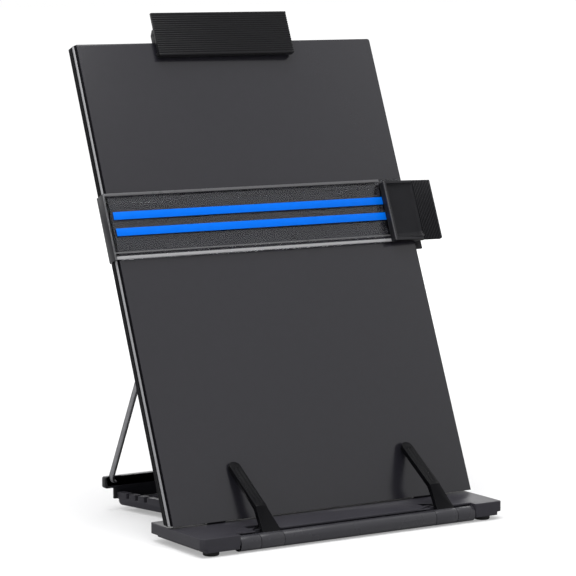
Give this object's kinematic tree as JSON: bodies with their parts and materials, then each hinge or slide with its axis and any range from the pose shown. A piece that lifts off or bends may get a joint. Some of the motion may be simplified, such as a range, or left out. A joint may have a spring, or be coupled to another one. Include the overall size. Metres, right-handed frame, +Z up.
{
  "type": "copy holder",
  "caption": "Desk copy holder: leaning page board on a low base, wire stand in a notched rack, sprung page legs, top clip and a sliding clear line guide with two blue stripes.",
  "frame": {"origin": "On the desk plane under the feet, below the middle of the whole object's outline.", "axes": "+Z up from the desk, +X to the right along the board's width, +Y from the front rail back to the notched rack. The board leans back about the X axis."},
  "size_m": [0.2622, 0.1834, 0.3447],
  "materials": {
    "base_plastic": "fine moulded grain, satin",
    "rail_plastic": "satin",
    "board_plastic": "smooth, low gloss",
    "leg_plastic": "satin",
    "black_plastic": "satin",
    "black_wire": "gloss black enamel on steel wire",
    "clear_plastic": "clear moulded strip, polished",
    "blue_stripe": "printed stripe, gloss",
    "rubber": "matt",
    "steel": "bright drawn steel"
  },
  "bodies": {
    "base": {"base_cover": "base_plastic", "base_pan": "base_plastic", "feet": "rubber", "base_screws": "steel", "rear_rack": "base_plastic", "front_rail": "rail_plastic", "rail_rod": "steel"},
    "left_spring": {"left_spring_barrel": "rail_plastic", "left_leg_spring": "steel"},
    "right_spring": {"right_spring_barrel": "rail_plastic", "right_leg_spring": "steel"},
    "left_leg": {"left_leg": "leg_plastic", "left_leg_tip": "rubber"},
    "right_leg": {"right_leg": "leg_plastic", "right_leg_tip": "rubber"},
    "panel": {"board": "board_plastic", "hinge_pins": "steel", "wire_saddles": "black_plastic", "saddle_screws": "steel", "clip_body": "black_plastic", "clip_screws": "steel", "clip_pin": "steel", "clip_spring": "steel"},
    "clip": {"clip_jaw": "black_plastic", "clip_grip": "rubber"},
    "guide": {"guide_strip": "clear_plastic", "guide_stripes": "blue_stripe", "clamp_body": "black_plastic", "clamp_pin": "steel", "clamp_spring": "steel"},
    "lever": {"clamp_jaw": "black_plastic", "clamp_pad": "rubber"},
    "support": {"support_wire": "black_wire", "support_foot": "black_plastic"}
  },
  "joints": [
    {"name": "panel_tilt", "type": "hinge", "parent": "base", "child": "panel", "pos_m": [-0.00975, -0.04757, 0.01612], "axis": [1, 0, 0], "range_deg": [0, 7.2]},
    {"name": "support_swing", "type": "hinge", "parent": "panel", "child": "support", "pos_m": [-0.00975, 0.01091, 0.15318], "axis": [1, 0, 0], "range_deg": [0, 35]},
    {"name": "left_leg_follow", "type": "hinge", "parent": "base", "child": "left_spring", "pos_m": [-0.07445, -0.08663, 0.0058], "axis": [1, 0, 0], "range_deg": [0, 4.9]},
    {"name": "right_leg_follow", "type": "hinge", "parent": "base", "child": "right_spring", "pos_m": [0.06325, -0.08663, 0.0058], "axis": [1, 0, 0], "range_deg": [0, 4.9]},
    {"name": "left_leg_pull", "type": "hinge", "parent": "left_spring", "child": "left_leg", "pos_m": [-0.07445, -0.08663, 0.0058], "axis": [1, 0, 0], "range_deg": [0, 80], "stiffness_Nm_per_rad": 0.0005, "springref_deg": -28.65, "deforming": ["left_leg_spring"]},
    {"name": "right_leg_pull", "type": "hinge", "parent": "right_spring", "child": "right_leg", "pos_m": [0.06325, -0.08663, 0.0058], "axis": [1, 0, 0], "range_deg": [0, 80], "stiffness_Nm_per_rad": 0.0005, "springref_deg": -28.65, "deforming": ["right_leg_spring"]},
    {"name": "guide_slide", "type": "slide", "parent": "panel", "child": "guide", "axis": [0, 0.3795, 0.9252], "range_m": [-0.138, 0.09]},
    {"name": "clamp_press", "type": "hinge", "parent": "guide", "child": "lever", "pos_m": [0.11385, 0.02776, 0.20031], "axis": [0, -0.3795, -0.9252], "range_deg": [0, 12], "stiffness_Nm_per_rad": 0.004, "springref_deg": -17.19, "deforming": ["clamp_spring"]},
    {"name": "clip_open", "type": "hinge", "parent": "panel", "child": "clip", "pos_m": [-0.01375, 0.07865, 0.32913], "axis": [-1, 0, 0], "range_deg": [0, 14], "stiffness_Nm_per_rad": 0.02, "springref_deg": -20.05, "deforming": ["clip_spring"]}
  ],
  "couplings": [
    {"joint": "left_leg_follow", "follows": "panel_tilt", "ratio": 0.65},
    {"joint": "right_leg_follow", "follows": "panel_tilt", "ratio": 0.65}
  ]
}
